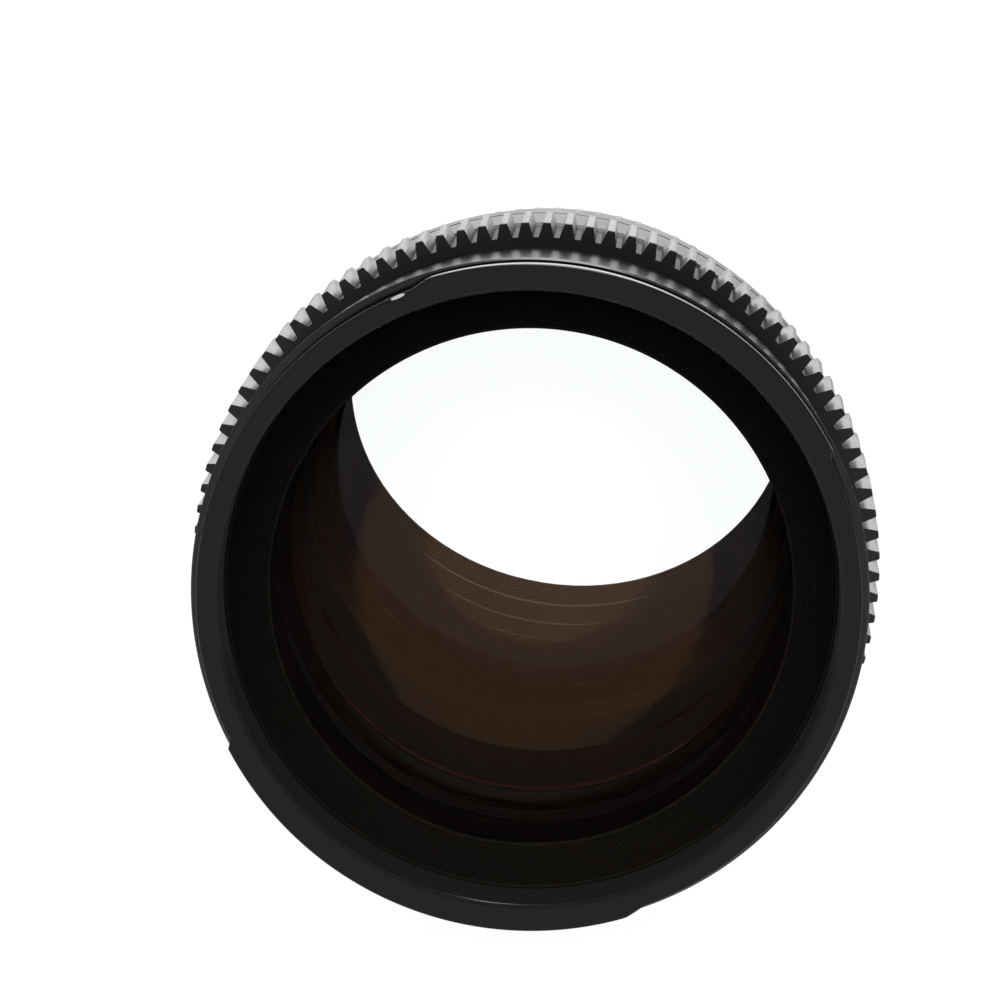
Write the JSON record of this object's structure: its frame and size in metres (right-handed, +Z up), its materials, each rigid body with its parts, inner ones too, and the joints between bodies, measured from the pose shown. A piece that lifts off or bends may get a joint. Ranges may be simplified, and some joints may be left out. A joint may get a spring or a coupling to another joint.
{
  "type": "cinema prime lens",
  "caption": "Black cinema prime lens with geared focus and iris rings, a sliding focusing cell, a bladed iris, coated glass, filter thread, hood lugs and a rear bayonet.",
  "frame": {"origin": "centre of the rear mount flange's face", "axes": "+Y along the optical axis towards the camera, front of the lens at -Y, +Z up"},
  "size_m": [0.0816, 0.0975, 0.0816],
  "materials": {
    "barrel_black": "satin black anodised",
    "gear_black": "satin black anodised, machined",
    "grooved_black": "matt black anodised, grooved",
    "inner_black": "matt black lacquer",
    "coated_glass": "polished, coated",
    "brass": "machined",
    "steel": "machined",
    "black_steel": "black oxide",
    "mount_chrome": "satin chrome",
    "red_dot": "gloss",
    "blade_black": "dry film black"
  },
  "bodies": {
    "barrel": {"filter_ring": "barrel_black", "name_ring": "grooved_black", "front_cell": "inner_black", "front_element": "coated_glass", "front_spacer": "inner_black", "second_element": "coated_glass", "third_element": "coated_glass", "main_barrel": "inner_black", "front_barrel": "barrel_black", "iris_base_plate": "inner_black", "iris_cover_ring": "inner_black", "index_ring": "barrel_black", "rear_barrel": "barrel_black", "mount_ring": "mount_chrome", "mount_screws": "steel", "rear_baffle": "inner_black", "mount_index_dot": "red_dot"},
    "focus": {"focus_cam_sleeve": "brass", "focus_gear": "gear_black", "focus_ring": "barrel_black", "focus_set_screws": "black_steel"},
    "focusing_cell": {"focus_cell": "inner_black", "fourth_element": "coated_glass", "fifth_element": "coated_glass", "sixth_element": "coated_glass", "cell_retaining_ring": "inner_black", "cam_rollers": "brass"},
    "iris": {"iris_ring": "barrel_black", "iris_gear": "gear_black", "iris_drive_pin": "steel", "iris_set_screws": "black_steel"},
    "iris_cam": {"iris_cam_ring": "brass"},
    "blade_1": {"iris_blade_1": "blade_black"},
    "blade_2": {"iris_blade_2": "blade_black"},
    "blade_3": {"iris_blade_3": "blade_black"},
    "blade_4": {"iris_blade_4": "blade_black"},
    "blade_5": {"iris_blade_5": "blade_black"},
    "blade_6": {"iris_blade_6": "blade_black"},
    "blade_7": {"iris_blade_7": "blade_black"},
    "blade_8": {"iris_blade_8": "blade_black"}
  },
  "joints": [
    {"name": "focus_turn", "type": "hinge", "parent": "barrel", "child": "focus", "pos_m": [0, 0, 0], "axis": [0, -1, 0], "range_deg": [0, 150]},
    {"name": "focus_slide", "type": "slide", "parent": "barrel", "child": "focusing_cell", "axis": [0, -1, 0], "range_m": [0, 0.005]},
    {"name": "iris_turn", "type": "hinge", "parent": "barrel", "child": "iris", "pos_m": [0, 0, 0], "axis": [0, -1, 0], "range_deg": [0, 60]},
    {"name": "iris_cam_turn", "type": "hinge", "parent": "barrel", "child": "iris_cam", "pos_m": [0, 0, 0], "axis": [0, -1, 0], "range_deg": [0, 60]},
    {"name": "blade_1_swing", "type": "hinge", "parent": "barrel", "child": "blade_1", "pos_m": [0.0282, -0.045, 0], "axis": [0, -1, 0], "range_deg": [0, 38]},
    {"name": "blade_2_swing", "type": "hinge", "parent": "barrel", "child": "blade_2", "pos_m": [0.01994, -0.045, 0.01994], "axis": [0, -1, 0], "range_deg": [0, 38]},
    {"name": "blade_3_swing", "type": "hinge", "parent": "barrel", "child": "blade_3", "pos_m": [0, -0.045, 0.0282], "axis": [0, -1, 0], "range_deg": [0, 38]},
    {"name": "blade_4_swing", "type": "hinge", "parent": "barrel", "child": "blade_4", "pos_m": [-0.01994, -0.045, 0.01994], "axis": [0, -1, 0], "range_deg": [0, 38]},
    {"name": "blade_5_swing", "type": "hinge", "parent": "barrel", "child": "blade_5", "pos_m": [-0.0282, -0.045, 0], "axis": [0, -1, 0], "range_deg": [0, 38]},
    {"name": "blade_6_swing", "type": "hinge", "parent": "barrel", "child": "blade_6", "pos_m": [-0.01994, -0.045, -0.01994], "axis": [0, -1, 0], "range_deg": [0, 38]},
    {"name": "blade_7_swing", "type": "hinge", "parent": "barrel", "child": "blade_7", "pos_m": [0, -0.045, -0.0282], "axis": [0, -1, 0], "range_deg": [0, 38]},
    {"name": "blade_8_swing", "type": "hinge", "parent": "barrel", "child": "blade_8", "pos_m": [0.01994, -0.045, -0.01994], "axis": [0, -1, 0], "range_deg": [0, 38]}
  ],
  "couplings": [
    {"joint": "focus_slide", "follows": "focus_turn", "m_per_rad": 0.0019099},
    {"joint": "iris_cam_turn", "follows": "iris_turn", "ratio": 1},
    {"joint": "blade_1_swing", "follows": "iris_turn", "ratio": 0.63333},
    {"joint": "blade_2_swing", "follows": "iris_turn", "ratio": 0.63333},
    {"joint": "blade_3_swing", "follows": "iris_turn", "ratio": 0.63333},
    {"joint": "blade_4_swing", "follows": "iris_turn", "ratio": 0.63333},
    {"joint": "blade_5_swing", "follows": "iris_turn", "ratio": 0.63333},
    {"joint": "blade_6_swing", "follows": "iris_turn", "ratio": 0.63333},
    {"joint": "blade_7_swing", "follows": "iris_turn", "ratio": 0.63333},
    {"joint": "blade_8_swing", "follows": "iris_turn", "ratio": 0.63333}
  ]
}
